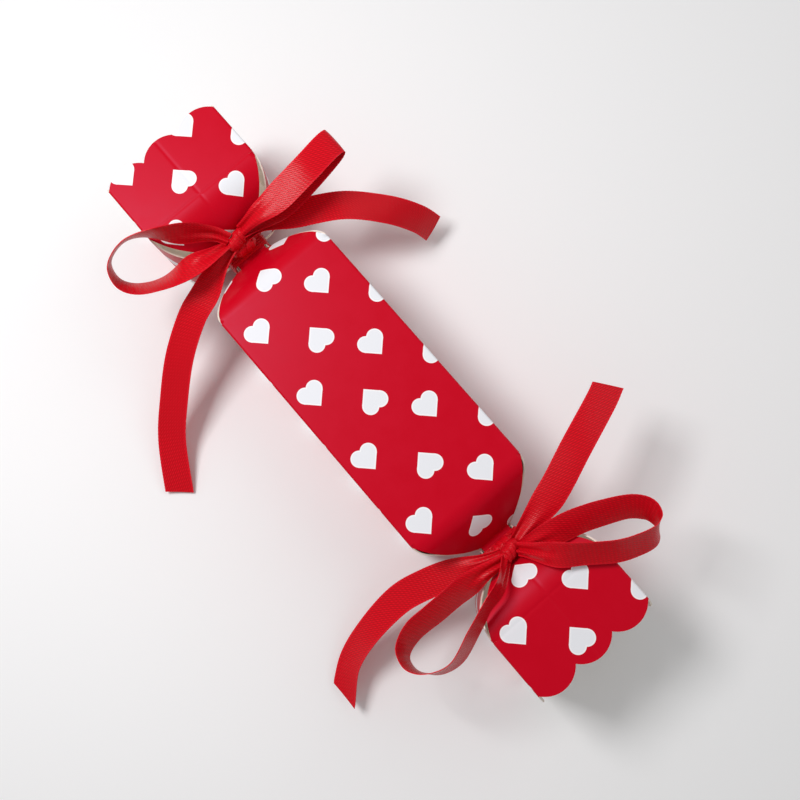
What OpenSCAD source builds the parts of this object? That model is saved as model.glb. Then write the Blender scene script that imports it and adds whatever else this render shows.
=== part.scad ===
// Candy-shaped gift box: a four-sided sleeve of creased card, pinched to a neck
// near each end by lens-shaped cut-outs at its corners, with scalloped tails and
// a satin ribbon tied in a bow round each neck.
// X runs along the box, the back panel lies on Z = 0 and the front panel faces up.

/* [Box] */
// Outside width of each of the four panels
side = 45; // [36:1:60]
// Length of the straight body between its two bends
body_len = 93; // [60:1:140]
// Thickness of the card
card = 0.5; // [0.3:0.05:0.7]
// Gap left between two strips of card at a fold that moves
fold_gap = 0.3; // [0.2:0.05:0.4]
// Width of the glue flap inside the back panel
flap_w = 12; // [6:1:16]
// Length of the slanted cut at each end of the glue flap
flap_slant = 5; // [0:1:10]

/* [Neck] */
// Half-length of the straight neck that the ribbon ties round
neck_flat = 3; // [2.6:0.1:4]
// Distance from the box axis to the card at the neck
neck_r = 6.5; // [6:0.25:8]
// Width of each strip of card at the neck
neck_w = 11.5; // [9:0.5:12]
// Radius of the card's tight turn into the neck
neck_turn_r = 1.75; // [1.5:0.25:2.5]
// Radius of the soft bend at the end of the body
body_bend_r = 8; // [5:0.5:10]
// Slope of the shoulder after the soft bend, in degrees
body_bend_deg = 46; // [42:1:50]
// Steepest slope of the shoulder, in degrees
shoulder_deg = 62; // [58:1:68]
// Steepest slope of the flare, in degrees
flare_deg = 88; // [84:1:90]
// How far the shoulder's cut edge bows out
shoulder_bow = 2.3; // [1:0.1:3]
// How far the flare's cut edge bows out
flare_bow = 3.1; // [2:0.1:4]

/* [Tail] */
// Length of a tail from its crease to the notches between its scallops
tail_len = 20.5; // [12:0.5:30]
// Number of scallops on each tail panel
scallops = 3; // [2:1:5]
// Height of a scallop above its notches
scallop_h = 3.5; // [2:0.25:4.5]
// Width of the score line down the middle of each tail
score_w = 0.8; // [0.5:0.1:1.2]
// Depth of the score line
score_d = 0.12; // [0.05:0.01:0.15]

/* [Ribbon] */
// Width of the ribbon
ribbon_w = 10; // [6:0.5:12]
// Thickness of the ribbon
ribbon_t = 0.4; // [0.3:0.05:0.5]
// Width of the ribbon where the knot gathers it
gather_w = 4.4; // [3:0.1:5]
// Length over which a gathered ribbon opens to its full width
gather_len = 20; // [14:1:28]
// Width of the gathered wrap round the neck
wrap_w = 4.6; // [3:0.2:5]
// Thickness of the wrap, two turns of ribbon
wrap_t = 0.9; // [0.7:0.05:1.2]
// Room between the card and the wrap
wrap_gap = 0.2; // [0.15:0.05:0.3]
// Inner radius at the corners of the wrap
wrap_corner_r = 1.2; // [0.8:0.1:1.4]
// Radius of the knot at its middle
knot_r = 3.1; // [2.8:0.1:3.4]
// Length of the knot across the box
knot_len = 9; // [7:0.5:10]
// How far the knot beds into the wrap
knot_bed = 0.5; // [0.3:0.1:0.8]
// Height of the bow's knot above the half knot under it
knot_rise = 4; // [3.4:0.1:4.4]
// How far the bow's knot leans towards the tail
knot_out = 2.2; // [0:0.1:2.4]

/* [Hidden] */
$fn = 48;
eps = 0.01;
SIDES = ["front", "near", "back", "far"];
ENDS = ["left", "right"];
RIBBON_PARTS = ["wrap", "knot", "loop_a", "loop_b", "tail_a", "tail_b"];

card_red = [0.78, 0.06, 0.14];
ribbon_red = [0.82, 0.03, 0.08];
axis_z = side / 2;
mid_r = side / 2 - card / 2;
drop = mid_r - neck_r;
bend_x = body_len / 2;
neck_reach = long_r(0, 0, flare_deg) * sin(flare_deg) + neck_turn_r * sin(flare_deg) + neck_flat;
neck_x = bend_x + neck_reach;
crease_x = neck_x + neck_reach;
notch_x = crease_x + tail_len;
scallop_pitch = side / scallops;
scallop_r = (pow(scallop_pitch / 2, 2) + pow(scallop_h, 2)) / (2 * scallop_h);
wrap_in = neck_r + card / 2 + wrap_gap;
wrap_out = wrap_in + wrap_t;
half_knot_z = axis_z + wrap_out + knot_r - knot_bed;
knot_z = half_knot_z + knot_rise;
knot_x = neck_x + knot_out;
arc_step = 6;
edge_steps = 8;

// Bent card. A run is a list of [t, r, slope]: t is the distance from the middle
// of the neck along the box, r the distance from the axis, slope in degrees.
function turn(t, r, from, to, radius) =
    let (n = max(2, ceil(abs(to - from) / arc_step)), sign = to > from ? 1 : -1)
    [for (i = [0 : n])
        let (a = from + (to - from) * i / n)
        [t - sign * radius * (sin(a) - sin(from)), r + sign * radius * (cos(a) - cos(from)), a]];

function last(v) = v[len(v) - 1];

// The long arc's radius follows from the drop that is left for it
function long_r(soft_r, soft_a, steep_a) =
    (drop - soft_r * (1 - cos(soft_a)) - neck_turn_r * (1 - cos(steep_a))) / (cos(soft_a) - cos(steep_a));

function bent_run(soft_r, soft_a, steep_a) =
    let (
        a = turn(neck_reach, mid_r, 0, soft_a, soft_r),
        b = turn(last(a)[0], last(a)[1], soft_a, steep_a, long_r(soft_r, soft_a, steep_a)),
        c = turn(last(b)[0], last(b)[1], steep_a, 0, neck_turn_r)
    )
    concat([[neck_reach + 1, mid_r, 0]], a, b, c, [[-1, neck_r, 0]]);

shoulder_run = bent_run(body_bend_r, body_bend_deg, shoulder_deg);
flare_run = bent_run(0, 0, flare_deg);

function shifted(run, d) = [for (p = run) [p[0] - sin(p[2]) * d, p[1] + cos(p[2]) * d]];
function reversed(v) = [for (i = [len(v) - 1 : -1 : 0]) v[i]];

module bent_strip(run, low, high, width)
    rotate([90, 0, 0])
        linear_extrude(width, center = true)
            polygon(concat(shifted(run, high), reversed(shifted(run, low))));

// Points along an arc from a to b that bows to the left by the given height
function bowed(a, b, bow) =
    let (
        d = b - a,
        chord = norm(d),
        radius = (chord * chord / 4 + bow * bow) / (2 * bow),
        half = asin(chord / 2 / radius),
        left = [-d[1], d[0]] / chord,
        centre = (a + b) / 2 - left * (radius - bow)
    )
    [for (i = [0 : edge_steps])
        let (g = half * (1 - 2 * i / edge_steps))
        centre + radius * (left * cos(g) - d / chord * sin(g))];

// Cut outline of a pinched strip, seen square on, from its bend to the neck
module strip_outline(bow, neck_from) {
    edge = bowed([neck_from, neck_w / 2], [neck_reach - fold_gap / 2, side / 2], bow);
    half = concat([[fold_gap / 2, neck_w / 2]], edge);
    polygon(concat(half, reversed([for (p = half) [p[0], -p[1]]])));
}

// Everything on one side of the box stays inside its own quarter
module quarter(from, to)
    translate([from, 0, 0])
        rotate([90, 0, 90])
            linear_extrude(to - from)
                polygon([[0, fold_gap / 2], [side, side + fold_gap / 2], [-side, side + fold_gap / 2]]);

module pinched(run, bow, neck_from)
    intersection() {
        bent_strip(run, -card / 2, card / 2, side + 2);
        linear_extrude(side) strip_outline(bow, neck_from);
        quarter(-1, neck_reach + 1);
    }

function steep_start(run) = last([for (p = run) if (p[1] > neck_r + card) p[0]]);

module on_side(i)
    translate([0, 0, axis_z])
        rotate([90 * i, 0, 0])
            children();

module at_end(e)
    mirror([1 - e, 0, 0])
        children();

// Straight body: four panels mitred at the corners, and the glue flap
module body_panel(i)
    color(card_red)
        on_side(i)
            rotate([90, 0, 90])
                linear_extrude(body_len - fold_gap, center = true)
                    polygon([
                        [-side / 2, side / 2], [side / 2, side / 2],
                        [side / 2 - card, side / 2 - card], [card - side / 2, side / 2 - card]
                    ]);

module glue_flap() {
    root = body_len / 2 - fold_gap;
    color("white")
        translate([0, card - side / 2, card])
            linear_extrude(card)
                polygon([[-root, 0], [root, 0], [root - flap_slant, flap_w], [flap_slant - root, flap_w]]);
}

// Shoulder: the strip that bends from the body down to the neck
module shoulder(e, i)
    color(card_red)
        at_end(e)
            on_side(i)
                translate([neck_x, 0, 0])
                    mirror([1, 0, 0])
                        pinched(shoulder_run, shoulder_bow, steep_start(shoulder_run));

// Flare: the strip that opens out again from the neck to the tail, scored down its middle
module flare(e, i)
    color(card_red)
        at_end(e)
            on_side(i)
                translate([neck_x, 0, 0])
                    difference() {
                        pinched(flare_run, flare_bow, steep_start(flare_run));
                        bent_strip(flare_run, card / 2 - score_d, card, score_w);
                    }

// Tail: a flat scalloped panel beyond the crease, with the same score line
module tail_outline() {
    translate([crease_x + fold_gap / 2, -side / 2])
        square([tail_len - fold_gap / 2, side]);
    intersection() {
        for (k = [0 : scallops - 1])
            translate([notch_x + scallop_h - scallop_r, (k + 0.5) * scallop_pitch - side / 2])
                circle(scallop_r);
        translate([notch_x - eps, -side])
            square([scallop_h * 2, side * 2]);
    }
}

module tail(e, i)
    color(card_red)
        at_end(e)
            on_side(i)
                difference() {
                    intersection() {
                        translate([0, 0, side / 2 - card])
                            linear_extrude(card) tail_outline();
                        quarter(crease_x - 1, notch_x + scallop_h + 1);
                    }
                    translate([crease_x - 1, -score_w / 2, side / 2 - score_d])
                        cube([tail_len + scallop_h + 2, score_w, 1]);
                }

// Ribbon wrap: a band with round corners round the four strips at the neck
module rounded_square(half, corner)
    union() {
        square([2 * half, 2 * (half - corner)], center = true);
        square([2 * (half - corner), 2 * half], center = true);
        for (u = [-1, 1], v = [-1, 1])
            translate([u, v] * (half - corner)) circle(corner);
    }

module ribbon_wrap(e)
    color(ribbon_red)
        at_end(e)
            translate([neck_x, 0, axis_z])
                rotate([90, 0, 90])
                    linear_extrude(wrap_w, center = true)
                        difference() {
                            rounded_square(wrap_out, wrap_corner_r + wrap_t);
                            rounded_square(wrap_in, wrap_corner_r);
                        }

// Knot: a half knot on the wrap, and over it the bow's knot that loops and tails come out of
module knot_barrel()
    rotate([90, 0, 0])
        rotate_extrude()
            intersection() {
                translate([knot_r - knot_len, 0]) circle(knot_len);
                translate([0, -knot_len / 2]) square([knot_r, knot_len]);
            }

module ribbon_knot(e)
    color(ribbon_red)
        at_end(e)
            union() {
                translate([neck_x, 0, half_knot_z]) knot_barrel();
                translate([knot_x, 0, knot_z]) knot_barrel();
            }

// Routes of the loops and tails. Each row is a point, from the middle of the knot,
// and the way the ribbon's width lies there.
LEFT_LOOP_A = [
    [[-1, -2.5, 2.2], [-0.4, 0.9, 0.2]], [[-5, -5.5, 5], [-0.4, 0.8, 0.5]],
    [[-9, -13, 11.5], [-0.2, 0.5, 0.8]], [[-14, -20.5, 14.5], [0.2, 0.25, 0.9]],
    [[-18.5, -28, 13], [0.4, 0.05, 0.9]], [[-19.5, -34, 9.5], [0.4, 0, 0.9]],
    [[-17.5, -38, 7], [0.4, -0.1, 0.9]], [[-12.5, -39, 4.5], [0.45, -0.2, 0.85]],
    [[-7.5, -35.5, 3], [0.5, -0.3, 0.8]], [[-4, -28, 2], [0.6, -0.3, 0.7]],
    [[-1.5, -17, 4], [0.8, -0.35, 0.3]], [[-0.5, -9, 2.8], [0.85, -0.2, 0.3]],
    [[-1, -2.5, 0], [0.9, 0, 0.3]]
];
LEFT_LOOP_B = [
    [[-1, 2.5, 2.2], [1, 0, 0]], [[0, 9.5, 6.5], [1, 0, 0]], [[1, 17, 8.5], [1, 0, 0]],
    [[0.5, 30.5, 11], [1, 0, 0]], [[-1, 41, 10.5], [1, 0, 0]], [[-1.5, 45, 8], [1, 0, 0]],
    [[-1, 42, 5], [1, 0, 0]], [[0.5, 30.5, 3.5], [1, 0, 0]], [[1.5, 18, 2], [1, 0, 0]],
    [[0.5, 9, 1], [1, 0, 0]], [[-0.5, 2.5, 1], [1, 0, 0]]
];
LEFT_TAIL_A = [
    [[0.5, -2.5, -1], [0.9, 0.3, 0]], [[2.5, -11, -2], [0.9, 0.3, 0]],
    [[5.5, -20, -5], [0.9, 0.35, 0]], [[8, -29, -8], [0.85, 0.4, 0]],
    [[14, -41.5, -14.5], [0.8, 0.55, 0]], [[22, -53, -22], [0.75, 0.65, 0]],
    [[31, -63.5, -29], [0.65, 0.75, 0]], [[45.5, -74, -35.5], [0.45, 0.9, 0]]
];
LEFT_TAIL_B = [
    [[0.5, 2.5, -1], [0.9, -0.2, 0]], [[0.5, 10, -2], [0.9, -0.1, 0]],
    [[5.5, 21.5, -3], [0.85, -0.5, 0]], [[13, 35, -4.5], [0.8, -0.6, 0]],
    [[22, 46.5, -11.5], [0.6, -0.8, 0]], [[29, 54, -20.5], [0.45, -0.85, -0.2]],
    [[33.5, 57.5, -28.5], [0.35, -0.85, -0.4]]
];
RIGHT_LOOP_A = [
    [[1, 2.5, 0], [0.8, -0.3, 0]], [[3.5, 11.5, 8], [0.75, -0.35, -0.4]],
    [[6, 21, 10], [0.7, -0.35, -0.5]], [[9.5, 29.5, 9], [0.65, -0.35, -0.55]],
    [[13.5, 37, 8.5], [0.6, -0.35, -0.65]], [[18, 40.5, 8.5], [0.6, -0.35, -0.7]],
    [[22.5, 40, 9.5], [0.6, -0.35, -0.7]], [[24.5, 36.5, 11], [0.6, -0.35, -0.7]],
    [[23, 30.5, 12.5], [0.6, -0.35, -0.7]], [[20, 24, 14], [0.6, -0.35, -0.7]],
    [[14.5, 16.5, 14], [0.6, -0.4, -0.7]], [[9, 9.5, 12.5], [0.6, -0.5, -0.5]],
    [[1, 2.5, 2.2], [0.7, -0.7, 0]]
];
RIGHT_LOOP_B = [
    [[1, -2.5, 1], [-1, 0, 0.3]], [[-0.5, -12, 1.5], [-0.9, 0, 0.35]],
    [[-0.5, -21.5, -2.5], [-0.75, 0, 0.65]], [[-0.5, -30.5, -5], [-0.75, 0, 0.65]],
    [[-0.5, -39.5, -6], [-0.7, 0, 0.7]], [[2, -46, -5], [-0.55, -0.1, 0.8]],
    [[6.5, -47.5, -3], [-0.4, -0.2, 0.9]], [[10.5, -45.5, -0.5], [-0.35, -0.2, 0.9]],
    [[13.5, -41, 2], [-0.35, -0.1, 0.9]], [[14, -34, 6], [-0.35, -0.1, 0.9]],
    [[10, -24, 11.5], [-0.4, 0, 0.9]], [[7, -16.5, 13.5], [-0.4, 0, 0.9]],
    [[5, -9, 11], [-0.6, 0.2, 0.7]], [[1, -2.5, 2.2], [-0.9, 0.4, 0.1]]
];
RIGHT_TAIL_A = [
    [[-0.5, -2.5, -1], [0.9, -0.3, 0]], [[-2.5, -9, -2.5], [0.9, -0.4, 0]],
    [[-5.5, -16.5, -5], [0.9, -0.4, 0]], [[-9, -26.5, -9], [0.95, -0.3, 0]],
    [[-11, -37.5, -14.5], [0.95, -0.15, 0.2]], [[-9.5, -52, -21.5], [0.85, 0.1, 0.5]],
    [[-5.5, -64.5, -28.5], [0.75, 0.3, 0.55]], [[2, -74, -32], [0.7, 0.5, 0.45]]
];
RIGHT_TAIL_B = [
    [[-0.5, 2.5, -1], [0.9, 0.2, 0]], [[-2, 8.5, -0.5], [0.9, 0.25, 0]],
    [[-5, 22, 2.5], [0.95, 0.3, 0]], [[-11, 37.5, 5], [0.95, 0.3, 0]],
    [[-16.5, 53, 3.5], [0.95, 0.25, 0]], [[-19, 59, 2], [0.95, 0.25, 0]]
];
ROUTES = [
    [LEFT_LOOP_A, LEFT_LOOP_B, LEFT_TAIL_A, LEFT_TAIL_B],
    [RIGHT_LOOP_A, RIGHT_LOOP_B, RIGHT_TAIL_A, RIGHT_TAIL_B]
];
span_steps = 3;

// The routes were laid out on a box of this side, knot height and ribbon width
route_side = 45;
route_knot_z = 36.95;
route_ribbon_w = 10;
route_lift = side / route_side + (ribbon_w - route_ribbon_w) / route_ribbon_w / 2;
route_fall = knot_z / route_knot_z;
function placed(p) = [p[0], p[1] * side / route_side, p[2] * (p[2] > 0 ? route_lift : route_fall)];

// How far one edge of each tail leads the other at its slanted end
TAIL_CUTS = [[1.4, 0.4], [5.5, 2.7]];
cut_run = 8;

// Smooth curve through the rows of a route
function curve(p0, p1, p2, p3, u) =
    let (
        a = p2 - p0,
        b = 2 * p0 - 5 * p1 + 4 * p2 - p3,
        c = 3 * p1 - p0 - 3 * p2 + p3
    )
    p1 + (a * u + b * pow(u, 2) + c * pow(u, 3)) / 2;

function row(route, k, c) = route[min(max(k, 0), len(route) - 1)][c];

function smooth(route, c) = concat(
    [for (k = [0 : len(route) - 2], j = [0 : span_steps - 1])
        let (near = [for (d = [-1 : 2]) row(route, k + d, c)])
        curve(near[0], near[1], near[2], near[3], j / span_steps)],
    [last(route)[c]]
);

function unit(v) = v / norm(v);
function heading(p, k) = unit(p[min(k + 1, len(p) - 1)] - p[max(k - 1, 0)]);
function lengths(p, k = 1, sum = 0) =
    k == len(p) ? [sum] : concat([sum], lengths(p, k + 1, sum + norm(p[k] - p[k - 1])));

// Width of the ribbon at a given length from the knot
function opened(s) =
    let (u = min(1, s / gather_len))
    gather_w + (ribbon_w - gather_w) * u * u * (3 - 2 * u);

// A ribbon swept along its route; a loop is gathered at both of its ends,
// and a tail ends in a slanted cut
module ribbon_run(route, is_loop, cut) {
    p = [for (q = smooth(route, 0)) placed(q)];
    lie = smooth(route, 1);
    s = lengths(p);
    n = len(p);
    total = last(s);
    rings = [for (k = [0 : n - 1])
        let (
            t = heading(p, k),
            across = unit(lie[k] - t * (lie[k] * t)) * opened(is_loop ? min(s[k], total - s[k]) : s[k]) / 2,
            up = unit(cross(t, across)) * ribbon_t / 2,
            edge = across + t * cut / 2 * max(0, 1 - (total - s[k]) / cut_run)
        )
        [p[k] + edge + up, p[k] - edge + up, p[k] - edge - up, p[k] + edge - up]];
    polyhedron(
        points = [for (r = rings, q = r) q],
        faces = concat(
            [[0, 1, 2, 3]],
            [for (k = [0 : n - 2], j = [0 : 3], f = [0, 1])
                let (a = 4 * k + j, b = 4 * k + (j + 1) % 4, under = j == 2)
                f == 0 ? [b, a, under ? b + 4 : a + 4] : [under ? a : b, a + 4, b + 4]],
            [[4 * n - 1, 4 * n - 2, 4 * n - 3, 4 * n - 4]]
        )
    );
}

module ribbon_strand(e, k)
    color(ribbon_red)
        translate([(2 * e - 1) * knot_x, 0, knot_z])
            ribbon_run(ROUTES[e][k], k < 2, k < 2 ? 0 : TAIL_CUTS[e][k - 2]);

for (i = [0 : 3])
    body_panel(i);
glue_flap();
for (e = [0, 1], i = [0 : 3]) {
    shoulder(e, i);
    flare(e, i);
    tail(e, i);
}
for (e = [0, 1]) {
    ribbon_wrap(e);
    ribbon_knot(e);
    for (k = [0 : 3])
        ribbon_strand(e, k);
}
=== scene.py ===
import bpy
import math
from mathutils import Matrix, Vector, noise


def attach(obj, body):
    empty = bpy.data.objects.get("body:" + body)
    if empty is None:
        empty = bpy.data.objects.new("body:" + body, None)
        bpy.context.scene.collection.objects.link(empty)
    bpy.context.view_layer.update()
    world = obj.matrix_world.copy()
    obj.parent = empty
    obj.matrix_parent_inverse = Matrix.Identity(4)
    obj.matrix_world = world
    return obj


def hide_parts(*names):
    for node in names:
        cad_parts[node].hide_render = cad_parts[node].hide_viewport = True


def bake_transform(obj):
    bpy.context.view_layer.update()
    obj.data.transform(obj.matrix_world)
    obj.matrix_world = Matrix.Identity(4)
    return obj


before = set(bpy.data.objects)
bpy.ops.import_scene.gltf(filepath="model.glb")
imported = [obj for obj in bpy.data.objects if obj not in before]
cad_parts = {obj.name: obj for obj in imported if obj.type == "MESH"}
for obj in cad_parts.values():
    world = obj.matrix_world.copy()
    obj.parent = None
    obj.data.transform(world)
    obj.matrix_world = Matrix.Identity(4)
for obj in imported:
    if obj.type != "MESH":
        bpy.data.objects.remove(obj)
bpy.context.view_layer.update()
print("frame loaded,", len(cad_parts), "nodes")

mm = 0.001
sideNames = ["front", "near", "back", "far"]
endSigns = {"left": -1, "right": 1}


# shared mesh and node helpers

def smooth01(u):
    u = min(1.0, max(0.0, u))
    return u * u * (3 - 2 * u)


def spread(a, b, n):
    return [a + (b - a) * k / (n - 1) for k in range(n)]


def mirrored(right):
    return [-v for v in right[::-1]] + [0.0] + right


def newObject(name, data):
    obj = bpy.data.objects.new(name, data)
    bpy.context.collection.objects.link(obj)
    return obj


def gridShell(name, outer, inner, outerNormals, innerNormals, outerUv, materials,
              wallMaterial=1, innerMaterial=1):
    # closed shell from two matching grids of points, with given normals on its two faces
    rows, cols = len(outer), len(outer[0])
    count = rows * cols
    at = lambda r, c: r * cols + c
    points = [p for row in outer for p in row] + [p for row in inner for p in row]
    faces, mats, kinds = [], [], []
    r, c = rows // 2, cols // 2
    ahead, aside = outer[r + 1][c] - outer[r][c], outer[r][c + 1] - outer[r][c]
    flip = ahead.cross(aside).dot(outerNormals[r][c]) < 0

    def face(corners, material, kind):
        faces.append(corners[::-1] if flip else corners)
        mats.append(material)
        kinds.append(kind)

    for r in range(rows - 1):
        for c in range(cols - 1):
            quad = [at(r, c), at(r + 1, c), at(r + 1, c + 1), at(r, c + 1)]
            face(quad, 0, "outside")
            face([count + k for k in quad[::-1]], innerMaterial, "inside")
    rim = [at(0, c) for c in range(cols)] + [at(r, cols - 1) for r in range(1, rows)]
    rim += [at(rows - 1, c) for c in range(cols - 2, -1, -1)] + [at(r, 0) for r in range(rows - 2, 0, -1)]
    for k, p in enumerate(rim):
        q = rim[(k + 1) % len(rim)]
        face([p, q, count + q, count + p], wallMaterial, "wall")
    mesh = bpy.data.meshes.new(name)
    mesh.from_pydata(points, [], faces)
    for material in materials:
        mesh.materials.append(material)
    mesh.polygons.foreach_set("material_index", mats)
    mesh.polygons.foreach_set("use_smooth", [True] * len(faces))
    layer = mesh.uv_layers.new(name="flat")
    flatUv = [t for row in outerUv for t in row]
    normalsOut = [n for row in outerNormals for n in row]
    normalsIn = [n for row in innerNormals for n in row]
    loopNormals = []
    for poly in mesh.polygons:
        kind = kinds[poly.index]
        faceNormals = normalsOut if kind == "outside" else normalsIn
        for loop in poly.loop_indices:
            v = mesh.loops[loop].vertex_index % count
            along, across = flatUv[v]
            layer.data[loop].uv = (along, -across if kind == "inside" else across)    # the back is mirrored
            loopNormals.append(poly.normal if kind == "wall" else faceNormals[v])
    mesh.normals_split_custom_set(loopNormals)
    return newObject(name, mesh)


def newNode(tree, kind, at=(0, 0), **values):
    node = tree.nodes.new(kind)
    node.location = at
    for key, value in values.items():
        setattr(node, key, value)
    return node


def feed(tree, value, socket):
    if isinstance(value, bpy.types.NodeSocket):
        tree.links.new(value, socket)
    else:
        socket.default_value = value


def calc(tree, operation, a, b=None, c=None):
    node = newNode(tree, "ShaderNodeMath", operation=operation)
    for socket, value in zip(node.inputs, (a, b, c)):
        if value is not None:
            feed(tree, value, socket)
    return node.outputs[0]


def blendColour(tree, factor, a, b):
    node = newNode(tree, "ShaderNodeMix", data_type="RGBA")
    feed(tree, factor, node.inputs["Factor"])
    feed(tree, a, node.inputs[6])     # the colour sockets share their names with the others
    feed(tree, b, node.inputs[7])
    return node.outputs[2]


def remap(tree, value, fromLow, fromHigh, toLow, toHigh):
    node = newNode(tree, "ShaderNodeMapRange", interpolation_type="SMOOTHSTEP")
    feed(tree, value, node.inputs["Value"])
    limits = {"From Min": fromLow, "From Max": fromHigh, "To Min": toLow, "To Max": toHigh}
    for key, limit in limits.items():
        feed(tree, limit, node.inputs[key])
    return node.outputs["Result"]


def newGroup(name, inputs, outputs):
    group = bpy.data.node_groups.new(name, "ShaderNodeTree")
    for label, kind, default in inputs:
        socket = group.interface.new_socket(name=label, in_out="INPUT", socket_type=kind)
        if default is not None:
            socket.default_value = default
    for label, kind in outputs:
        group.interface.new_socket(name=label, in_out="OUTPUT", socket_type=kind)
    return group, newNode(group, "NodeGroupInput", (-900, 0)), newNode(group, "NodeGroupOutput", (900, 0))


def newMaterial(name):
    material = bpy.data.materials.new(name)
    material.use_nodes = True
    return material, material.node_tree, material.node_tree.nodes["Principled BSDF"]


def flatCoords(tree):
    # millimetres on the flat card or ribbon: both together, along, across
    uv = newNode(tree, "ShaderNodeUVMap", (-1200, 0), uv_map="flat")
    scale = newNode(tree, "ShaderNodeVectorMath", (-1000, 0), operation="SCALE")
    tree.links.new(uv.outputs["UV"], scale.inputs[0])
    scale.inputs["Scale"].default_value = 1 / mm
    split = newNode(tree, "ShaderNodeSeparateXYZ", (-800, 0))
    tree.links.new(scale.outputs["Vector"], split.inputs[0])
    return scale.outputs["Vector"], split.outputs["X"], split.outputs["Y"]


def addGrain(tree, fibre, flat, size):
    grain = newNode(tree, "ShaderNodeGroup", (-600, -300), node_tree=fibre)
    tree.links.new(flat, grain.inputs["Flat"])
    grain.inputs["Size"].default_value = size
    return grain.outputs["Mottle"], grain.outputs["Height"]


def addBump(tree, surface, height, strength):
    bump = newNode(tree, "ShaderNodeBump", (-200, -400))
    bump.inputs["Strength"].default_value = strength
    bump.inputs["Distance"].default_value = 0.1 * mm
    tree.links.new(height, bump.inputs["Height"])
    tree.links.new(bump.outputs["Normal"], surface.inputs["Normal"])


# finishes

fibreGrain = {"broad": 0.12, "broadDetail": 3.0, "fine": 3.0, "fineDetail": 4.0, "roughness": 0.6}


def makeFibreGroup():
    # grain that paper and cloth share: a broad mottle for colour and a fine height for bump
    p = fibreGrain
    group, start, end = newGroup(
        "fibreGrain",
        [("Flat", "NodeSocketVector", None), ("Size", "NodeSocketFloat", 1.0)],
        [("Mottle", "NodeSocketFloat"), ("Height", "NodeSocketFloat")])
    for output, scale, detail in (("Mottle", p["broad"], p["broadDetail"]),
                                  ("Height", p["fine"], p["fineDetail"])):
        node = newNode(group, "ShaderNodeTexNoise", (-400, 0), noise_dimensions="3D")
        group.links.new(start.outputs["Flat"], node.inputs["Vector"])
        feed(group, calc(group, "MULTIPLY", start.outputs["Size"], scale), node.inputs["Scale"])
        node.inputs["Detail"].default_value = detail
        node.inputs["Roughness"].default_value = p["roughness"]
        group.links.new(node.outputs["Fac"], end.inputs[output])
    return group


heartPattern = {
    "pitchAlong": 26.5, "pitchAcross": 180 / 7,      # 7 pairs of columns go round the box
    "downStart": (17.0, -15.3), "upStart": (3.7, -1.5),
    "square": 5.42,                                  # side of the square that the two lobes sit on
    "rim": 0.42, "edge": 0.07, "join": 0.25,
}


def makeHeartGroup():
    p = heartPattern
    group, start, end = newGroup(
        "heartPrint",
        [("Along", "NodeSocketFloat", 0.0), ("Across", "NodeSocketFloat", 0.0)],
        [("Heart", "NodeSocketFloat"), ("Rim", "NodeSocketFloat")])
    half = p["square"] / 2
    shift = half / math.sqrt(2)
    low = -(half + shift - half * math.sqrt(2)) / 2
    distances = []
    for key, sign in (("downStart", -1), ("upStart", 1)):
        cell = []
        for label, origin in zip(("Along", "Across"), p[key]):
            pitch = p["pitch" + label]
            moved = calc(group, "ADD", start.outputs[label], pitch / 2 - origin)
            wrapped = calc(group, "FLOORED_MODULO", moved, pitch)
            cell.append(calc(group, "SUBTRACT", wrapped, pitch / 2))
        tall = calc(group, "SUBTRACT", calc(group, "MULTIPLY", cell[0], sign), low)
        wide = calc(group, "ABSOLUTE", cell[1])
        diamond = calc(group, "ADD", wide, calc(group, "ABSOLUTE", tall))
        diamond = calc(group, "MULTIPLY_ADD", diamond, math.sqrt(0.5), -half)
        dx = calc(group, "SUBTRACT", wide, shift)
        dy = calc(group, "SUBTRACT", tall, shift)
        squared = calc(group, "ADD", calc(group, "MULTIPLY", dx, dx), calc(group, "MULTIPLY", dy, dy))
        lobe = calc(group, "SUBTRACT", calc(group, "SQRT", squared), half)
        distances.append(calc(group, "SMOOTH_MIN", diamond, lobe, p["join"]))
    nearest = calc(group, "MINIMUM", distances[0], distances[1])
    edge, rim = p["edge"], p["rim"]
    feed(group, remap(group, nearest, -edge, edge, 1.0, 0.0), end.inputs["Heart"])
    feed(group, remap(group, nearest, -rim - edge, -rim + edge, 0.0, 1.0), end.inputs["Rim"])
    return group


printFinish = {
    "red": (0.58, 0.001, 0.013, 1), "redDeep": (0.54, 0.0008, 0.010, 1),
    "heart": (0.82, 0.83, 0.86, 1), "heartRim": (0.92, 0.92, 0.93, 1),
    "grain": 1.0, "mottle": (0.3, 0.7), "roughness": (0.34, 0.40),
    "specular": 0.13, "sheen": (0.75, 0.62, 1.0, 1), "bump": 0.03,
}


def makePrintMaterial(fibre, hearts):
    p = printFinish
    material, tree, surface = newMaterial("heartPrintedCard")
    flat, along, across = flatCoords(tree)
    mottle, height = addGrain(tree, fibre, flat, p["grain"])
    heart = newNode(tree, "ShaderNodeGroup", (-600, 200), node_tree=hearts)
    tree.links.new(along, heart.inputs["Along"])
    tree.links.new(across, heart.inputs["Across"])
    ground = blendColour(tree, mottle, p["redDeep"], p["red"])
    white = blendColour(tree, heart.outputs["Rim"], p["heart"], p["heartRim"])
    feed(tree, blendColour(tree, heart.outputs["Heart"], ground, white), surface.inputs["Base Color"])
    feed(tree, remap(tree, mottle, *p["mottle"], *p["roughness"]), surface.inputs["Roughness"])
    addBump(tree, surface, height, p["bump"])
    surface.inputs["Specular IOR Level"].default_value = p["specular"]
    surface.inputs["Specular Tint"].default_value = p["sheen"]
    return material


boardFinish = {
    "pale": (0.88, 0.79, 0.70, 1), "dull": (0.80, 0.70, 0.60, 1),
    "grain": 1.6, "roughness": 0.75, "bump": 0.15,
}


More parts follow.
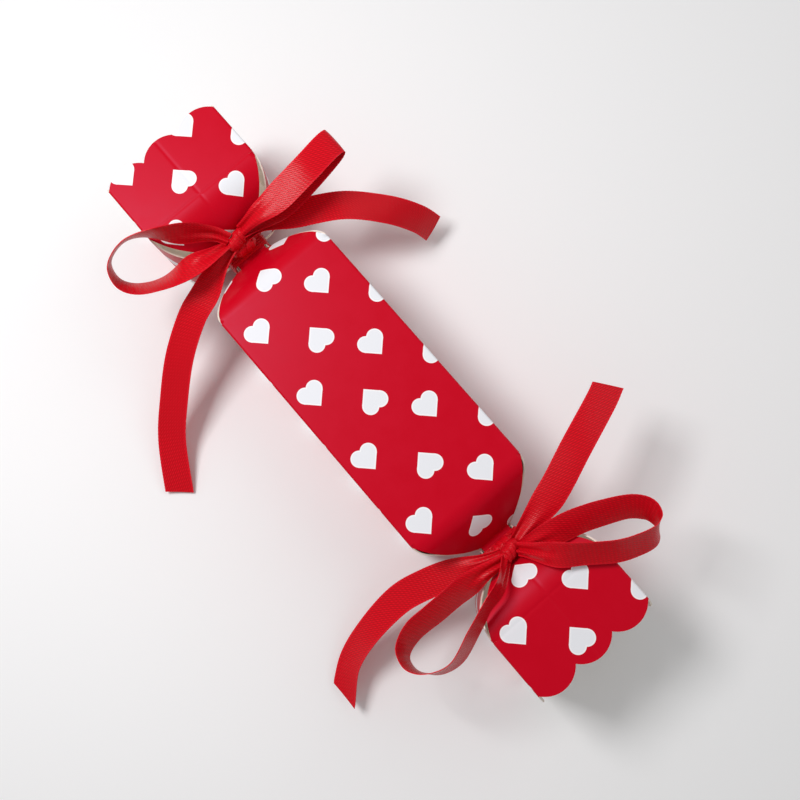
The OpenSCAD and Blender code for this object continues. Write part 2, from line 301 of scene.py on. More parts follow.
def makeBoardMaterial(fibre):
    p = boardFinish
    material, tree, surface = newMaterial("bareBoard")
    height = addGrain(tree, fibre, flatCoords(tree)[0], p["grain"])[1]
    feed(tree, blendColour(tree, height, p["dull"], p["pale"]), surface.inputs["Base Color"])
    addBump(tree, surface, height, p["bump"])
    surface.inputs["Roughness"].default_value = p["roughness"]
    return material


satinFinish = {
    # the first two colours are a painted highlight for the rib crests and a painted shade for the hollows
    # between the ribs
    "paintedRibHighlight": (0.93, 0.008, 0.024, 1), "paintedRibShade": (0.40, 0.0008, 0.004, 1),
    "ribPitch": 0.7, "ribTurn": 32, "floatLen": 1.7, "stagger": 0.38,    # diagonal ribs of short floats
    "floatShare": 0.3, "grainShare": 0.3, "grain": 1.2,
    "edge": (0.70, 0.006, 0.018, 1), "edgeAt": 4.75, "edgeHalf": 0.3,    # firm woven edges
    "laneStep": 30.0,                                                    # from strand to strand on the flat
    "weaveSpan": (0.2, 0.8), "roughness": (0.20, 0.30), "specular": 0.14, "bump": 0.6,
    "stretch": 0.6, "stretchTurn": 0.25,
}


def makeSatinMaterial(fibre):
    p = satinFinish
    material, tree, surface = newMaterial("redSatin")
    flat, along, across = flatCoords(tree)
    grain = addGrain(tree, fibre, flat, p["grain"])[1]
    c, n = math.cos(math.radians(p["ribTurn"])), math.sin(math.radians(p["ribTurn"]))
    acrossRib = calc(tree, "ADD", calc(tree, "MULTIPLY", along, n / p["ribPitch"]),
                     calc(tree, "MULTIPLY", across, c / p["ribPitch"]))
    alongRib = calc(tree, "SUBTRACT", calc(tree, "MULTIPLY", along, c / p["floatLen"]),
                    calc(tree, "MULTIPLY", across, n / p["floatLen"]))
    ribWave = calc(tree, "SINE", calc(tree, "MULTIPLY", acrossRib, 2 * math.pi))
    rib = calc(tree, "MULTIPLY_ADD", ribWave, 0.5, 0.5)
    stagger = calc(tree, "MULTIPLY", calc(tree, "FLOOR", acrossRib), p["stagger"])
    turns = calc(tree, "MULTIPLY", calc(tree, "ADD", alongRib, stagger), 2 * math.pi)
    floats = calc(tree, "MULTIPLY_ADD", calc(tree, "SINE", turns), p["floatShare"], 1 - p["floatShare"])
    weave = calc(tree, "MULTIPLY", rib, floats)
    grainPart = calc(tree, "MULTIPLY", grain, p["grainShare"])
    depth = calc(tree, "MULTIPLY_ADD", weave, 1 - p["grainShare"], grainPart)
    lane = calc(tree, "FLOORED_MODULO", calc(tree, "ADD", across, p["laneStep"] / 2), p["laneStep"])
    fromMiddle = calc(tree, "ABSOLUTE", calc(tree, "SUBTRACT", lane, p["laneStep"] / 2))
    edge = calc(tree, "COMPARE", fromMiddle, p["edgeAt"], p["edgeHalf"])
    # the weave's height blends painted shade between the ribs into painted highlight on their crests
    cloth = blendColour(tree, depth, p["paintedRibShade"], p["paintedRibHighlight"])
    feed(tree, blendColour(tree, edge, cloth, p["edge"]), surface.inputs["Base Color"])
    smoothest, roughest = p["roughness"]
    feed(tree, remap(tree, depth, *p["weaveSpan"], roughest, smoothest), surface.inputs["Roughness"])
    addBump(tree, surface, depth, p["bump"])
    surface.inputs["Specular IOR Level"].default_value = p["specular"]
    lengthwise = newNode(tree, "ShaderNodeTangent", (-200, -600), direction_type="UV_MAP", uv_map="flat")
    tree.links.new(lengthwise.outputs["Tangent"], surface.inputs["Tangent"])
    surface.inputs["Anisotropic"].default_value = p["stretch"]
    surface.inputs["Anisotropic Rotation"].default_value = p["stretchTurn"]
    return material


fibreGroup = makeFibreGroup()
heartGroup = makeHeartGroup()
printedCard = makePrintMaterial(fibreGroup, heartGroup)
bareBoard = makeBoardMaterial(fibreGroup)
redSatin = makeSatinMaterial(fibreGroup)
print("finishes made")


# card: one flat blank, bent by the same runs as the solids

blank = {
    "side": 45.0, "bodyLen": 93.0, "card": 0.5, "cornerR": 0.8,
    "neckR": 6.5, "neckW": 11.5, "neckFlat": 3.0, "neckTurnR": 1.75, "neckGap": 0.1,
    "bodyBendR": 8.0, "bodyBendDeg": 46.0, "shoulderDeg": 62.0, "flareDeg": 88.0,
    "shoulderBow": 2.3, "flareBow": 3.1, "shoulderFrom": 4.26, "flareFrom": 4.2,
    "tailLen": 20.5, "scallops": 3, "scallopH": 3.5, "scallopFrom": 6.0,
    "scoreHalf": 0.6, "scoreDepth": 0.09, "scoreFrom": 3.0, "scoreRun": 8.0,
    "tuckedLen": 19.5,    # print that the gathered neck takes up
    "foldRun": 2.4,       # length over which an opened fold bends
}
axisZ = blank["side"] / 2
midR = blank["side"] / 2 - blank["card"] / 2
drop = midR - blank["neckR"]


def longRadius(softR, softDeg, steepDeg):
    soft, steep = math.cos(math.radians(softDeg)), math.cos(math.radians(steepDeg))
    return (drop - softR * (1 - soft) - blank["neckTurnR"] * (1 - steep)) / (soft - steep)


def bendRun(arcs, reach):
    # list of (length, t, r, angle, curvature) from a crease in to the neck
    t, r, run = reach, midR, []
    for radius, fromDeg, toDeg in arcs:
        a, b = math.radians(fromDeg), math.radians(toDeg)
        curve = (1 if b > a else -1) / radius
        run.append((abs(b - a) * radius, t, r, a, curve))
        t -= (math.sin(b) - math.sin(a)) / curve
        r += (math.cos(b) - math.cos(a)) / curve
    run.append((t, t, r, 0.0, 0.0))
    return run


def alongRun(run, d):
    for length, t, r, a, curve in run:
        if d <= length + 1e-6:
            break
        d -= length
    if curve == 0:
        return t - d, r, a
    b = a + curve * d
    return t - (math.sin(b) - math.sin(a)) / curve, r + (math.cos(b) - math.cos(a)) / curve, b


def runLength(run):
    return sum(part[0] for part in run)


bendR, bendDeg = blank["bodyBendR"], blank["bodyBendDeg"]
shoulderDeg, flareDeg, neckTurnR = blank["shoulderDeg"], blank["flareDeg"], blank["neckTurnR"]
flareArc = (longRadius(0, 0, flareDeg), 0, flareDeg)
shoulderArc = (longRadius(bendR, bendDeg, shoulderDeg), bendDeg, shoulderDeg)
reach = (flareArc[0] + neckTurnR) * math.sin(math.radians(flareDeg)) + blank["neckFlat"]
shoulderRun = bendRun([(bendR, 0, bendDeg), shoulderArc, (neckTurnR, shoulderDeg, 0)], reach)
flareRun = bendRun([flareArc, (neckTurnR, flareDeg, 0)], reach)
sBend = blank["bodyLen"] / 2                  # lengths along the flat card, from the middle of the box
sNeck = sBend + runLength(shoulderRun)
sCrease = sNeck + runLength(flareRun)
neckX = sBend + reach                         # places along the folded box
creaseX = neckX + reach
flatHalf = blank["side"] / 2 - blank["cornerR"]
foldR = blank["cornerR"] - blank["card"] / 2
edgeV = flatHalf + foldR * math.pi / 4        # half-width of a panel, on to the middle of its long folds


def profileAt(s):
    # place on the bent strip, and its outward normal, for a length from the middle of the box
    if s <= sBend:
        return s, midR, 0.0, 1.0
    if s <= sNeck:
        t, r, a = alongRun(shoulderRun, s - sBend)
        return neckX - t, r, math.sin(a), math.cos(a)
    if s <= sCrease:
        t, r, a = alongRun(flareRun, sCrease - s)
        return neckX + t, r, -math.sin(a), math.cos(a)
    return creaseX + s - sCrease, midR, 0.0, 1.0


def scoreDepth(s, v):
    # pressed cross on the tails: one line along the middle and one at the crease
    start, width = sNeck + blank["scoreFrom"], blank["scoreHalf"]
    if s < start:
        return 0.0
    lengthwise = math.exp(-(v / width) ** 2) * smooth01((s - start) / blank["scoreRun"])
    crosswise = math.exp(-((s - sCrease) / width) ** 2)
    return blank["scoreDepth"] * max(lengthwise, crosswise)


def cardPoint(end, sideIndex, s, v, lift):
    # lift is the height above the middle of the card
    x, r, nx, nr = profileAt(s)
    over = abs(v) - flatHalf
    sign = 1 if v > 0 else -1
    if over > 0:    # round the long fold
        a = over / foldR
        y, sink = sign * (flatHalf + foldR * math.sin(a)), foldR * (1 - math.cos(a))
        ny, c = sign * math.sin(a), math.cos(a)
    else:
        y, sink, ny, c = v, 0.0, 0.0, 1.0
    out = lift * c - sink
    px, py, pr = x + nx * out, y + ny * lift, r + nr * out
    turn = math.radians(90 * sideIndex)
    across = py * math.cos(turn) - pr * math.sin(turn)
    height = axisZ + py * math.sin(turn) + pr * math.cos(turn)
    return Vector((end * px, across, height)) * mm


def outerPoint(end, sideIndex, s, v):
    return cardPoint(end, sideIndex, s, v, blank["card"] / 2 - scoreDepth(s, v))


def innerPoint(end, sideIndex, s, v):
    return cardPoint(end, sideIndex, s, v, -blank["card"] / 2 - scoreDepth(s, v))


def cardNormal(surface, end, sideIndex, s, v, outward):
    d = 0.02    # probe to either side
    ds = surface(end, sideIndex, s + d, v) - surface(end, sideIndex, s - d, v)
    dv = surface(end, sideIndex, s, v + d) - surface(end, sideIndex, s, v - d)
    n = ds.cross(dv).normalized()
    return n if n.dot(outward) > 0 else -n


def cardPiece(node, body, end, sideIndex, grid, tucked=0.0, parent=None):
    outer, inner, normalsOut, normalsIn, uv = [], [], [], [], []
    printShare = blank["side"] / 2 / edgeV    # the print runs on without a break round the long folds
    for row in grid:
        places = [(end, sideIndex, s, v) for s, v in row]
        outward = [(cardPoint(*p, 1) - cardPoint(*p, 0)).normalized() for p in places]
        outer.append([outerPoint(*p) for p in places])
        inner.append([innerPoint(*p) for p in places])
        normalsOut.append([cardNormal(outerPoint, *p, out) for p, out in zip(places, outward)])
        normalsIn.append([cardNormal(innerPoint, *p, -out) for p, out in zip(places, outward)])
        flat = [(end * (s + tucked), v * printShare - blank["side"] * sideIndex) for s, v in row]
        uv.append([(along * mm, across * mm) for along, across in flat])
    obj = gridShell("card_" + node, outer, inner, normalsOut, normalsIn, uv, [printedCard, bareBoard])
    if parent:    # a piece past a fold is baked in place and joins no body
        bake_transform(obj)
    else:
        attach(obj, body)
    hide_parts(node)


def panelGrid():
    right = [2.0] + spread(3.0, flatHalf, 13)[:-1] + spread(flatHalf, edgeV, 5)
    return [[(s, v) for v in mirrored(right)] for s in spread(-sBend, sBend, 25)]


def edgeWidth(t, start, bow):
    # half-width of a pinched strip, cut to an arc from the neck out to the fold
    a, b = (start, blank["neckW"] / 2), (reach, blank["side"] / 2)
    if t <= a[0]:
        return a[1]
    dx, dy = b[0] - a[0], b[1] - a[1]
    chord = math.hypot(dx, dy)
    radius = (chord * chord / 4 + bow * bow) / (2 * bow)
    cx = (a[0] + b[0]) / 2 + dy / chord * (radius - bow)
    cy = (a[1] + b[1]) / 2 - dx / chord * (radius - bow)
    return cy + math.sqrt(max(0.0, radius * radius - (t - cx) ** 2))


def stripGrid(sList, start, bow):
    grid = []
    fine = spread(0.3, 1.2, 4)                                       # close rows beside the score
    shares = [0.08, 0.16, 0.24, 0.32] + spread(0.4, 1.0, 9)          # the rest of the way to the edge
    for s in sList:
        x, r = profileAt(s)[:2]
        width = min(edgeWidth(abs(x - neckX), start, bow), edgeV, r - blank["neckGap"])
        right = fine + [fine[-1] + (width - fine[-1]) * share for share in shares]
        grid.append([(s, v) for v in mirrored(right)])
    return grid


def scallopAt(v):
    pitch = 2 * edgeV / blank["scallops"]
    c = (v + edgeV) % pitch - pitch / 2
    h = blank["scallopH"]
    radius = (pitch * pitch / 4 + h * h) / (2 * h)
    return math.sqrt(max(0.0, radius * radius - c * c)) - radius + h


def tailGrid():
    pitch = 2 * edgeV / blank["scallops"]
    across = set()
    for k in range(blank["scallops"]):
        mid = -edgeV + (k + 0.5) * pitch
        across |= {round(mid + pitch / 2 * math.sin(math.pi / 2 * u), 4) for u in spread(-1, 1, 19)}
    across |= {round(v, 4) for v in spread(-1.4, 1.4, 13)}
    across |= {round(v * sign, 4) for v in spread(flatHalf, edgeV, 5) for sign in (-1, 1)}
    start, length = blank["scallopFrom"], blank["tailLen"]
    grid = []
    for off in [0, 0.2, 0.4, 0.6, 0.85, 1.2, 1.8, 3] + spread(5, length, 9):
        share = smooth01((off - start) / (length - start))
        grid.append([(sCrease + off + share * scallopAt(v), v) for v in sorted(across)])
    return grid


panelRows = panelGrid()
shoulderRows = stripGrid(spread(sBend, sNeck, 46), blank["shoulderFrom"], blank["shoulderBow"])
towardCrease = spread(sNeck, sCrease - 1.5, 42) + [sCrease - d for d in (1.2, 0.9, 0.65, 0.45, 0.25, 0)]
flareRows = stripGrid(towardCrease, blank["flareFrom"], blank["flareBow"])
tailRows = tailGrid()
for sideIndex, sideName in enumerate(sideNames):
    cardPiece(sideName + "_panel", "box", 1, sideIndex, panelRows)
    for endName, end in endSigns.items():
        strip = endName + "_" + sideName
        shoulder, flare, tail = strip + "_shoulder", strip + "_flare", strip + "_tail"
        cardPiece(shoulder, shoulder, end, sideIndex, shoulderRows, 0.0, "box")
        cardPiece(flare, flare, end, sideIndex, flareRows, blank["tuckedLen"], shoulder)
        cardPiece(tail, tail, end, sideIndex, tailRows, blank["tuckedLen"], flare)
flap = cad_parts["glue_flap"]
flap.data.materials.clear()
flap.data.materials.append(bareBoard)
print("card folded, flat from the middle to the notches:", round(sCrease + blank["tailLen"], 1), "mm")


# ribbon

ribbon = {
    "width": 10.0, "thick": 0.26, "gatherW": 4.4, "gatherLen": 20.0,
    "step": 0.55, "across": 27,                              # spacing of the mesh, and points across it
    "pleats": 1.7, "pleatHeight": 0.7, "pleatFan": 0.12,     # folds that fan out from the knot
    "cup": 0.25, "ripple": 0.35, "rippleAlong": 0.06, "rippleAcross": 0.5,
    "selvedge": 0.03, "cutFrom": 8.0,
}


def ringShell(name, parts, closeEnds, sharpAt=()):
    # each part is a list of rings of points, closed on themselves, and their flat coordinates
    points, flatUv, faces = [], [], []
    size = len(parts[0][0][0])
    for rings, uv in parts:
        base, count = len(points), len(rings)
        for k in range(count - 1 if closeEnds else count):
            n = (k + 1) % count
            for j in range(size):
                i = (j + 1) % size
                corners = ((k, j), (k, i), (n, i), (n, j))
                faces.append([base + ring * size + place for ring, place in corners])
        if closeEnds:
            faces.append([base + j for j in range(size)][::-1])
            faces.append([base + (count - 1) * size + j for j in range(size)])
        points += [p for ring in rings for p in ring]
        flatUv += [t for ring in uv for t in ring]
    mesh = bpy.data.meshes.new(name)
    mesh.from_pydata(points, [], faces)
    mesh.materials.append(redSatin)
    layer = mesh.uv_layers.new(name="flat")
    for loop in mesh.loops:
        layer.data[loop.index].uv = flatUv[loop.vertex_index]
    mesh.polygons.foreach_set("use_smooth", [True] * len(faces))
    for edge in mesh.edges:
        a, b = (v % size for v in edge.vertices)
        edge.use_edge_sharp = a == b and a in sharpAt
    mesh.update()
    return newObject(name, mesh)


wrap = {
    "width": 4.7, "inside": 6.86, "thick": 1.0, "square": 8,             # square: how boxy the turns lie
    "folds": 5, "foldDip": 0.38, "foldSharp": 0.7, "lean": (0.12, 0.05),
    "steps": 46, "around": 128, "flatR": 7.5,
}


def ribbonWrap(endName):
    # gathered turns of ribbon round the neck, ridged where the folds lie side by side
    w = wrap
    centre = Vector((endSigns[endName] * neckX, 0, axisZ))
    outside = [(math.sin(t * math.pi / 2), True) for t in spread(-1, 1, w["steps"])]
    inside = [(t, False) for t in spread(0.8, -0.8, 5)]
    rings, uv = [], []
    for k in range(w["around"]):
        a = 2 * math.pi * k / w["around"]
        ca, sa = math.cos(a), math.sin(a)
        boxy = (abs(ca) ** w["square"] + abs(sa) ** w["square"]) ** (-1 / w["square"])
        lean = w["lean"][0] * math.sin(a * 2 + 1.0) + w["lean"][1] * math.sin(a * 5)
        ring, coords = [], []
        for t, isOutside in outside + inside:
            rad = w["inside"] * boxy
            if isOutside:
                phase = math.pi * (t + lean * (1 - t * t)) * w["folds"] / 2
                fold = abs(math.sin(phase)) ** w["foldSharp"]
                crown = (1 - t ** 6) ** 0.5
                rad += w["thick"] * crown * (1 - w["foldDip"] + w["foldDip"] * fold)
            ring.append((centre + Vector((t * w["width"] / 2, rad * ca, rad * sa))) * mm)
            coords.append((a * w["flatR"] * mm, t * ribbon["width"] / 2 * mm))
        rings.append(ring)
        uv.append(coords)
    obj = ringShell(endName + "_bow_wrap", [(rings, uv)], False, (0, w["steps"] - 1))
    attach(obj, endName + "_ribbon")
    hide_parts(endName + "_ribbon_wrap")


knot = {
    "radius": 3.2, "length": 9.4, "flat": 0.82, "turn": 20, "out": 2.2, "z": 36.95, "halfZ": 32.95,
    "folds": 3, "foldDepth": 0.5, "foldSharp": 0.6, "slant": 0.3, "waver": 0.25, "fine": 0.07,
    "steps": 91, "around": 72,
}


def knotRings(centre, turn, end):
    # a soft barrel of ribbon lying across the box, with slanting folds drawn tight
    q = knot
    half = q["length"] / 2
    rings, uv = [], []
    for y in spread(-1, 1, q["steps"]):
        swell = q["radius"] - q["length"] + math.sqrt(q["length"] ** 2 - (y * half) ** 2)
        closing = math.sqrt(max(0.02, 1 - abs(y) ** 5))
        ring, coords = [], []
        for k in range(q["around"]):
            a = 2 * math.pi * k / q["around"]
            slant = y + q["slant"] * math.cos(a + 0.6) + 0.05 * math.sin(2 * a + end)
            phase = slant * q["folds"] / 2 + q["waver"] * math.sin(2.3 * slant + end)
            crease = abs(math.sin(math.pi * phase)) ** q["foldSharp"]
            fine = q["fine"] * math.cos(33 * slant + 3 * a)
            rad = (swell - (q["foldDepth"] * (1 - crease) + fine) * (1 - y ** 6)) * closing
            px, py, pz = rad * q["flat"] * math.cos(a), y * half, rad * math.sin(a)
            place = Vector((px * math.cos(turn) - py * math.sin(turn),
                            px * math.sin(turn) + py * math.cos(turn), pz))
            ring.append((centre + place) * mm)
            coords.append((a * q["radius"] * mm, y * ribbon["width"] * mm))
        rings.append(ring)
        uv.append(coords)
    return rings, uv


def knotCentre(endName):
    return Vector((endSigns[endName] * (neckX + knot["out"]), 0, knot["z"]))


def ribbonKnot(endName):
    # half knot on the wrap, with the bow's knot over it leaning towards the tail
    end = endSigns[endName]
    low = knotRings(Vector((end * neckX, 0, knot["halfZ"])), 0.0, end)
    top = knotRings(knotCentre(endName), math.radians(knot["turn"]), end)
    obj = ringShell(endName + "_bow_knot", [low, top], True)
    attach(obj, endName + "_ribbon")
    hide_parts(endName + "_ribbon_knot")


# how far one edge of each tail leads the other at its slanted end
tailCuts = {
    "left_ribbon_tail_a": 1.4, "left_ribbon_tail_b": 0.4,
    "right_ribbon_tail_a": 5.5, "right_ribbon_tail_b": 2.7,
}
# each row: a point from the middle of the knot in millimetres, and the way the width lies there
routes = {
    "left_ribbon_loop_a": [
        ((-1, -2.5, 2.2), (-0.4, 0.9, 0.2)), ((-5, -5.5, 5), (-0.4, 0.8, 0.5)),
        ((-9, -13, 11.5), (-0.2, 0.5, 0.8)), ((-14, -20.5, 14.5), (0.2, 0.25, 0.9)),
        ((-18.5, -28, 13), (0.4, 0.05, 0.9)), ((-19.5, -34, 9.5), (0.4, 0, 0.9)),
        ((-17.5, -38, 7), (0.4, -0.1, 0.9)), ((-12.5, -39, 4.5), (0.45, -0.2, 0.85)),
        ((-7.5, -35.5, 3), (0.5, -0.3, 0.8)), ((-4, -28, 2), (0.6, -0.3, 0.7)),
        ((-1.5, -17, 4), (0.8, -0.35, 0.3)), ((-0.5, -9, 2.8), (0.85, -0.2, 0.3)),
        ((-1, -2.5, 0), (0.9, 0, 0.3))],
    "left_ribbon_loop_b": [
        ((-1, 2.5, 2.2), (1, 0, 0)), ((0, 9.5, 6.5), (1, 0, 0)), ((1, 17, 8.5), (1, 0, 0)),
        ((0.5, 30.5, 11), (1, 0, 0)), ((-1, 41, 10.5), (1, 0, 0)), ((-1.5, 45, 8), (1, 0, 0)),
        ((-1, 42, 5), (1, 0, 0)), ((0.5, 30.5, 3.5), (1, 0, 0)), ((1.5, 18, 2), (1, 0, 0)),
        ((0.5, 9, 1), (1, 0, 0)), ((-0.5, 2.5, 1), (1, 0, 0))],
    "left_ribbon_tail_a": [
        ((0.5, -2.5, -1), (0.9, 0.3, 0)), ((2.5, -11, -2), (0.9, 0.3, 0)),
        ((5.5, -20, -5), (0.9, 0.35, 0)), ((8, -29, -8), (0.85, 0.4, 0)),
        ((14, -41.5, -14.5), (0.8, 0.55, 0)), ((22, -53, -22), (0.75, 0.65, 0)),
        ((31, -63.5, -29), (0.65, 0.75, 0)), ((45.5, -74, -35.5), (0.45, 0.9, 0))],
    "left_ribbon_tail_b": [
        ((0.5, 2.5, -1), (0.9, -0.2, 0)), ((0.5, 10, -2), (0.9, -0.1, 0)),
        ((5.5, 21.5, -3), (0.85, -0.5, 0)), ((13, 35, -4.5), (0.8, -0.6, 0)),
        ((22, 46.5, -11.5), (0.6, -0.8, 0)), ((29, 54, -20.5), (0.45, -0.85, -0.2)),
        ((33.5, 57.5, -28.5), (0.35, -0.85, -0.4))],
    "right_ribbon_loop_a": [
        ((1, 2.5, 0), (0.8, -0.3, 0)), ((3.5, 11.5, 8), (0.75, -0.35, -0.4)),
        ((6, 21, 10), (0.7, -0.35, -0.5)), ((9.5, 29.5, 9), (0.65, -0.35, -0.55)),
        ((13.5, 37, 8.5), (0.6, -0.35, -0.65)), ((18, 40.5, 8.5), (0.6, -0.35, -0.7)),
        ((22.5, 40, 9.5), (0.6, -0.35, -0.7)), ((24.5, 36.5, 11), (0.6, -0.35, -0.7)),
        ((23, 30.5, 12.5), (0.6, -0.35, -0.7)), ((20, 24, 14), (0.6, -0.35, -0.7)),
        ((14.5, 16.5, 14), (0.6, -0.4, -0.7)), ((9, 9.5, 12.5), (0.6, -0.5, -0.5)),
        ((1, 2.5, 2.2), (0.7, -0.7, 0))],
    "right_ribbon_loop_b": [
        ((1, -2.5, 1), (-1, 0, 0.3)), ((-0.5, -12, 1.5), (-0.9, 0, 0.35)),
        ((-0.5, -21.5, -2.5), (-0.75, 0, 0.65)), ((-0.5, -30.5, -5), (-0.75, 0, 0.65)),
        ((-0.5, -39.5, -6), (-0.7, 0, 0.7)), ((2, -46, -5), (-0.55, -0.1, 0.8)),
        ((6.5, -47.5, -3), (-0.4, -0.2, 0.9)), ((10.5, -45.5, -0.5), (-0.35, -0.2, 0.9)),
        ((13.5, -41, 2), (-0.35, -0.1, 0.9)), ((14, -34, 6), (-0.35, -0.1, 0.9)),
        ((10, -24, 11.5), (-0.4, 0, 0.9)), ((7, -16.5, 13.5), (-0.4, 0, 0.9)),
        ((5, -9, 11), (-0.6, 0.2, 0.7)), ((1, -2.5, 2.2), (-0.9, 0.4, 0.1))],
    "right_ribbon_tail_a": [
        ((-0.5, -2.5, -1), (0.9, -0.3, 0)), ((-2.5, -9, -2.5), (0.9, -0.4, 0)),
        ((-5.5, -16.5, -5), (0.9, -0.4, 0)), ((-9, -26.5, -9), (0.95, -0.3, 0)),
        ((-11, -37.5, -14.5), (0.95, -0.15, 0.2)), ((-9.5, -52, -21.5), (0.85, 0.1, 0.5)),
        ((-5.5, -64.5, -28.5), (0.75, 0.3, 0.55)), ((2, -74, -32), (0.7, 0.5, 0.45))],
    "right_ribbon_tail_b": [
        ((-0.5, 2.5, -1), (0.9, 0.2, 0)), ((-2, 8.5, -0.5), (0.9, 0.25, 0)),
        ((-5, 22, 2.5), (0.95, 0.3, 0)), ((-11, 37.5, 5), (0.95, 0.3, 0)),
        ((-16.5, 53, 3.5), (0.95, 0.25, 0)), ((-19, 59, 2), (0.95, 0.25, 0))],
}


def throughRows(rows, u):
    # smooth curve through the rows
    k = min(int(u), len(rows) - 2)
    u -= k
    near = [rows[min(max(k + d, 0), len(rows) - 1)] for d in (-1, 0, 1, 2)]
    a = near[2] - near[0]
    b = 2 * near[0] - 5 * near[1] + 4 * near[2] - near[3]
    c = 3 * near[1] - near[0] - 3 * near[2] + near[3]
    return near[1] + (a * u + b * u * u + c * u ** 3) / 2


def evenRoute(route):
    # points a fixed length apart on the smooth route, with the lie of the ribbon at each
    points, lies = [Vector(p) for p, w in route], [Vector(w) for p, w in route]
    perRow = 40
    fine = [k / perRow for k in range(perRow * (len(route) - 1) + 1)]
    path = [throughRows(points, u) for u in fine]
    lengths = [0.0]
    for k in range(1, len(path)):
        lengths.append(lengths[-1] + (path[k] - path[k - 1]).length)
    count = max(8, round(lengths[-1] / ribbon["step"]))
    result, j = [], 0
    for k in range(count + 1):
        want = lengths[-1] * k / count
        while j < len(path) - 2 and lengths[j + 1] < want:
            j += 1
        share = (want - lengths[j]) / max(1e-9, lengths[j + 1] - lengths[j])
        u = fine[j] + share * (fine[j + 1] - fine[j])
        result.append((throughRows(points, u), throughRows(lies, u), want))
    return result, lengths[-1]


def strandSurface(samples, total, cut, seed):
    # middle surface of a strand, and how far its edges lead at each step
    r = ribbon
    count, isLoop = len(samples), cut is None
    surface, leads = [], []
    for k, (p, lie, s) in enumerate(samples):
        ahead = (samples[min(k + 1, count - 1)][0] - samples[max(k - 1, 0)][0]).normalized()
        side = (lie - ahead * lie.dot(ahead)).normalized()
        up = ahead.cross(side).normalized()
        fromKnot = min(s, total - s) if isLoop else s
        open01 = smooth01(fromKnot / r["gatherLen"])
        half = (r["gatherW"] + (r["width"] - r["gatherW"]) * open01) / 2
        lead = 0.0 if isLoop else cut / 2 * smooth01((s - total + r["cutFrom"]) / r["cutFrom"])
        tooth = r["selvedge"] * (1 if k % 2 else -1)
        row = []
        for u in spread(-1, 1, r["across"]):
            fan = u + r["pleatFan"] * math.sin(3 * u + seed)
            pleat = math.sin(math.pi * r["pleats"] * fan + seed) * r["pleatHeight"] * (1 - open01) ** 1.2
            bow = r["cup"] * (u * u - 0.4) * open01
            spot = Vector((s * r["rippleAlong"], u * r["rippleAcross"], seed * 7.1))
            ripple = noise.noise(spot) * r["ripple"] * open01
            width = u * (half + (tooth if abs(u) > 0.99 else 0))
            row.append(p + side * width + ahead * (u * lead) + up * (pleat + bow + ripple))
        surface.append(row)
        leads.append(lead)
    return surface, leads


def ribbonStrand(name, route, endName, cut, index):
    r = ribbon
    origin = knotCentre(endName)
    samples, total = evenRoute(route)
    surface, leads = strandSurface(samples, total, cut, 0.7 + index * 1.3)
    count, across = len(samples), spread(-1, 1, r["across"])
    last = len(across) - 1
    outer, inner, normalsOut, normalsIn, uv = [], [], [], [], []
    for k in range(count):
        centres = [p + origin for p in surface[k]]
        normals, coords = [], []
        for c, u in enumerate(across):
            dAlong = surface[min(k + 1, count - 1)][c] - surface[max(k - 1, 0)][c]
            dAcross = surface[k][min(c + 1, last)] - surface[k][max(c - 1, 0)]
            normals.append(dAlong.cross(dAcross).normalized())
            lane = u * r["width"] / 2 + index * satinFinish["laneStep"]
            coords.append(((samples[k][2] + u * leads[k]) * mm, lane * mm))
        outer.append([(p + n * r["thick"] / 2) * mm for p, n in zip(centres, normals)])
        inner.append([(p - n * r["thick"] / 2) * mm for p, n in zip(centres, normals)])
        normalsOut.append(normals)
        normalsIn.append([-n for n in normals])
        uv.append(coords)
    obj = gridShell(name, outer, inner, normalsOut, normalsIn, uv, [redSatin], 0, 0)
    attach(obj, endName + "_ribbon")
    return obj, total


for endName in endSigns:
    ribbonWrap(endName)
    ribbonKnot(endName)
for index, (node, route) in enumerate(routes.items()):
    endName = node.split("_")[0]
    strand, total = ribbonStrand(node.replace("ribbon", "bow"), route, endName, tailCuts.get(node), index)
    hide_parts(node)
    print(node, "is", round(total), "mm long")


# floor, light and camera

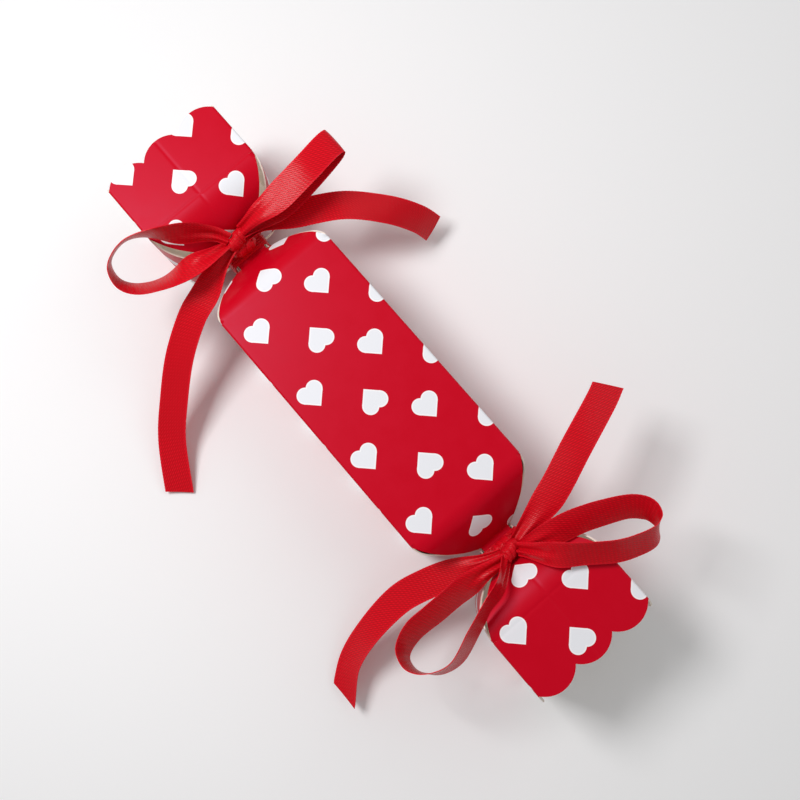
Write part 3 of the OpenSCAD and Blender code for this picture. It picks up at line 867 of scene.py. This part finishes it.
studio = {
    "floor": (0.93, 0.93, 0.93, 1), "floorHalf": 3.0, "floorRoughness": 0.9,
    "sky": (1, 1, 1, 1), "skyStrength": 0.34,
    "key": {"at": (-0.22, -0.10, 0.44), "aim": (-0.02, 0, 0.03), "size": 0.16, "power": 1.55,
            "tint": (1.0, 0.99, 1.0)},
    "fill": {"at": (0.12, 0.52, 0.58), "aim": (0, 0, 0.03), "size": 0.6, "power": 1.0,
             "tint": (1, 1, 1)},
}


def aimAt(obj, at, target):
    obj.location = at
    obj.rotation_euler = (Vector(target) - Vector(at)).to_track_quat("-Z", "Y").to_euler()


def makeStudio():
    s = studio
    h = s["floorHalf"]
    floorMesh = bpy.data.meshes.new("floor")
    floorMesh.from_pydata([(-h, -h, 0), (h, -h, 0), (h, h, 0), (-h, h, 0)], [], [(0, 1, 2, 3)])
    floor = newObject("floor", floorMesh)
    material, tree, surface = newMaterial("paleFloor")
    surface.inputs["Base Color"].default_value = s["floor"]
    surface.inputs["Roughness"].default_value = s["floorRoughness"]
    floorMesh.materials.append(material)
    world = bpy.data.worlds.new("studioSky")
    bpy.context.scene.world = world
    world.use_nodes = True
    sky = world.node_tree.nodes["Background"]
    sky.inputs["Color"].default_value = s["sky"]
    sky.inputs["Strength"].default_value = s["skyStrength"]
    for name in ("key", "fill"):
        lamp = bpy.data.lights.new(name, "AREA")
        lamp.energy, lamp.size, lamp.color = s[name]["power"], s[name]["size"], s[name]["tint"]
        aimAt(newObject(name, lamp), s[name]["at"], s[name]["aim"])


# place in millimetres, directions of the picture's sides, and the lens in pixels
shot = {
    "at": (47.0, -13.9, 341.2), "right": (0.652, 0.7575, -0.0338), "up": (-0.7479, 0.6498, 0.1356),
    "pixels": 947.2, "frame": 800,
}


def makeCamera():
    lens = bpy.data.cameras.new("photoView")
    lens.sensor_width = 36.0
    lens.lens = shot["pixels"] / shot["frame"] * lens.sensor_width
    lens.clip_start = 0.01
    camera = newObject("photoView", lens)
    right = Vector(shot["right"]).normalized()
    back = right.cross(Vector(shot["up"])).normalized()
    turn = Matrix((right, back.cross(right), back)).transposed().to_4x4()
    camera.matrix_world = Matrix.Translation(Vector(shot["at"]) * mm) @ turn
    bpy.context.scene.camera = camera


makeStudio()
makeCamera()
bpy.context.scene.view_settings.view_transform = "Standard"
print("studio set")
